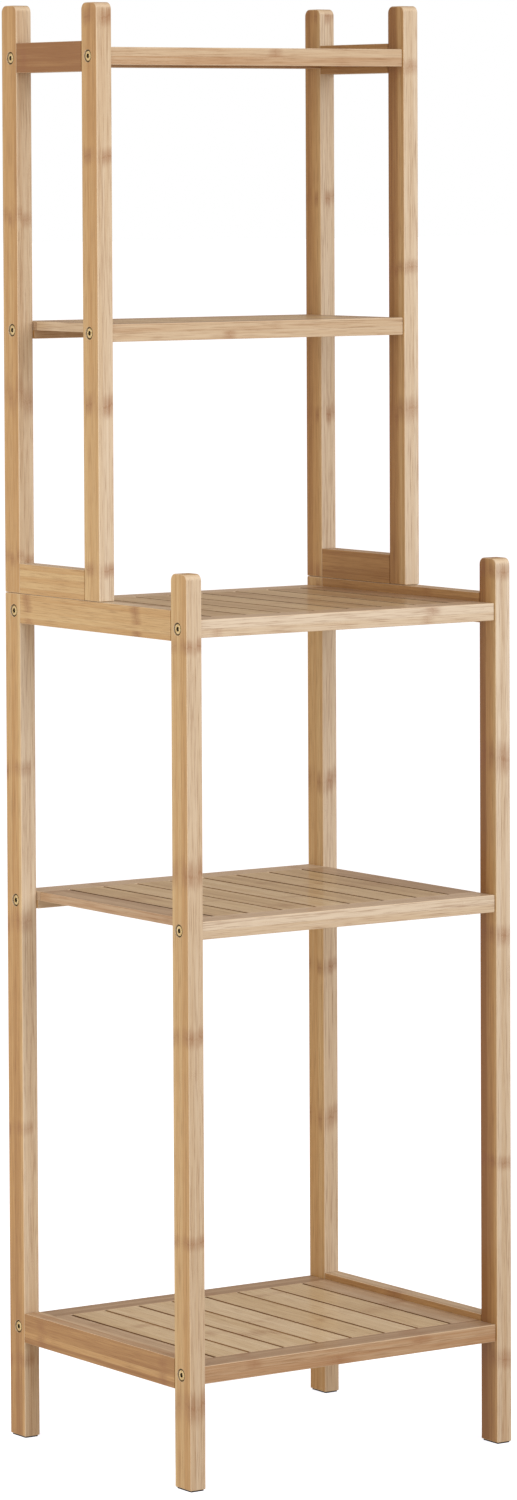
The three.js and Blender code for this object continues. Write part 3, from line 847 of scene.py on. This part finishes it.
def make_deck(name, node, strip_tone, slat_tone):
    """Slats that run front to back, set between a strip along the front and one along the back."""
    low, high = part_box(node)
    parts = []
    for near, far in ((low.y, low.y + END_STRIP_WIDTH), (high.y - END_STRIP_WIDTH, high.y)):
        strip = block("end_strip", Vector((low.x, near, low.z)), Vector((high.x, far, high.z)))
        ease(strip, SHELF_EDGE, EASE_STEPS, lambda middle, run: middle.z > high.z - SHELF_EDGE)
        mark_grain(strip, X, strip_tone)
        paint_slot_shade(strip, strip_bamboo, lambda centre, normal: (
            abs(normal.y) > FACING and low.y + SHELF_EDGE < centre.y < high.y - SHELF_EDGE))
        parts.append(strip)
    gaps = (SLAT_COUNT - 1) * SLAT_GAP
    inner_width = (high.x - low.x - gaps + 2 * OUTER_SLAT_TRIM) / SLAT_COUNT
    near = low.y + END_STRIP_WIDTH + SLAT_END_GAP
    far = high.y - END_STRIP_WIDTH - SLAT_END_GAP
    at = low.x
    for i in range(SLAT_COUNT):
        outer = i in (0, SLAT_COUNT - 1)
        width = inner_width - OUTER_SLAT_TRIM if outer else inner_width
        slat = block("slat", Vector((at, near, low.z)), Vector((at + width, far, high.z)))
        ease_square_edges(slat, SLAT_EDGE)
        mark_grain(slat, Y, slat_tone + SLAT_TONE_STEPS[i])
        paint_slot_shade(slat, strip_bamboo if outer else slat_bamboo, lambda centre, normal: (
            abs(normal.x) > FACING and low.x + SHELF_EDGE < centre.x < high.x - SHELF_EDGE))
        parts.append(slat)
        at += width + SLAT_GAP
    return joined(name, parts)


for shelf, (strip_tone, slat_tone) in SHELF_TONES.items():
    node = f"shelf_{shelf}_deck"
    deck = make_deck(node + "_bamboo", node, strip_tone, slat_tone)
    finish_piece(deck, strip_bamboo, "deck_bamboo", node)
    for end in ("front", "rear"):
        node = f"shelf_{shelf}_{end}_bearer"
        low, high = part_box(node)
        glue_face = high + Z * (CLEARANCE - GLUE_LINE)
        bearer = block(node + "_bamboo", low, glue_face)
        ease(bearer, SHELF_EDGE, EASE_STEPS, lambda middle, run: middle.z < low.z + SHELF_EDGE)
        mark_grain(bearer, X, strip_tone + BEARER_TONE_STEP)
        finish_piece(bearer, bearer_bamboo, "bearer_bamboo", node)


# ---------------------------------------------------------------- feet and dowels

for side in ("left", "right"):
    for end in ("front", "rear"):
        node = f"{side}_{end}_foot_pad"
        low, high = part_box(node)
        pad = block(node + "_rubber", low, high)
        ease(pad, PAD_CORNER, EASE_STEPS, lambda middle, run: abs(run.z) > FACING)
        ease_square_edges(pad, PAD_EDGE)
        finish_piece(pad, foot_rubber, "foot_pad", node)
        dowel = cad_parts[f"{side}_{end}_dowel"]
        for material_slot in dowel.material_slots:
            material_slot.material = dowel_beech


# ---------------------------------------------------------------- studio

FLOOR_SIZE = 160.0
deselect_all()
bpy.ops.mesh.primitive_plane_add(size=FLOOR_SIZE)
floor = bpy.context.object
floor.name = "studio_floor"
floor.data.materials.append(studio_floor())
# The glowing paper throws no light of its own on the piece.
floor.visible_diffuse = False
floor.visible_glossy = False
floor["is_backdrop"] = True

# The camera stands in front and to the left, about 1.45 m up, and looks a little down.
AZIMUTH = math.radians(-34.465)
PITCH = math.radians(-3.0)
ROLL = math.radians(-0.255)
CAMERA_DISTANCE = 6.6125
CAMERA_HEIGHT = 1.4495
LENS_MM = 141.48
SENSOR_MM = 36
LENS_SHIFT = (0.00175, -0.18945)
FARTHEST = 400.0

level_view = Vector((-math.sin(AZIMUTH), math.cos(AZIMUTH), 0))
level_right = Vector((math.cos(AZIMUTH), math.sin(AZIMUTH), 0))
view_line = level_view * math.cos(PITCH) + Z * math.sin(PITCH)
view_up = Z * math.cos(PITCH) - level_view * math.sin(PITCH)
right = level_right * math.cos(ROLL) + view_up * math.sin(ROLL)
up = view_up * math.cos(ROLL) - level_right * math.sin(ROLL)
camera_data = bpy.data.cameras.new("camera")
camera_data.lens = LENS_MM
camera_data.sensor_width = SENSOR_MM
camera_data.shift_x, camera_data.shift_y = LENS_SHIFT
camera_data.clip_end = FARTHEST
camera = bpy.data.objects.new("camera", camera_data)
bpy.context.collection.objects.link(camera)
turn = Matrix((right, up, -view_line)).transposed().to_4x4()
camera.matrix_world = Matrix.Translation(-level_view * CAMERA_DISTANCE + Z * CAMERA_HEIGHT) @ turn
bpy.context.scene.camera = camera


def softbox(name, place, aim, width, height, power, colour):
    """A rectangular studio light at a place, turned towards aim."""
    light = bpy.data.lights.new(name, "AREA")
    light.shape = "RECTANGLE"
    light.size, light.size_y = width, height
    light.energy = power
    light.color = linear(colour)[:3]
    lamp = bpy.data.objects.new(name, light)
    bpy.context.collection.objects.link(lamp)
    lamp.location = place
    lamp.rotation_mode = "QUATERNION"
    lamp.rotation_quaternion = (aim - place).to_track_quat("-Z", "Y")
    lamp.visible_camera = False
    return lamp


front_light = softbox(
    "front_softbox", place=Vector((0.4, -3.4, 2.3)), aim=Vector((0, 0, 0.9)),
    width=3.2, height=2.2, power=88, colour=0xFAFCFF)
front_light.visible_glossy = False
softbox(
    "left_softbox", place=Vector((-0.56, 0.24, 0.92)), aim=Vector((0, 0.24, 0.92)),
    width=1.4, height=2.5, power=5, colour=0xFFFBF4)

# White all round to the eye, and a dimmer, slightly warm fill on the piece.
FILL_TO_EYE, FILL_ON_PIECE = linear(0xFFFFFF), linear(0xB6A28E)
world = bpy.data.worlds.new("studio")
world.use_nodes = True
sky = world.node_tree
sky.nodes.clear()
to_eye = add(sky, "LightPath").outputs["Is Camera Ray"]
fill = add(sky, "Mix", [(0, to_eye), (6, FILL_ON_PIECE), (7, FILL_TO_EYE)], data_type="RGBA")
fill = add(sky, "Background", [("Color", fill.outputs[2]), ("Strength", 1.0)])
add(sky, "OutputWorld", [(0, fill)])
bpy.context.scene.world = world
bpy.context.scene.view_settings.view_transform = "Standard"

low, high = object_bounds()
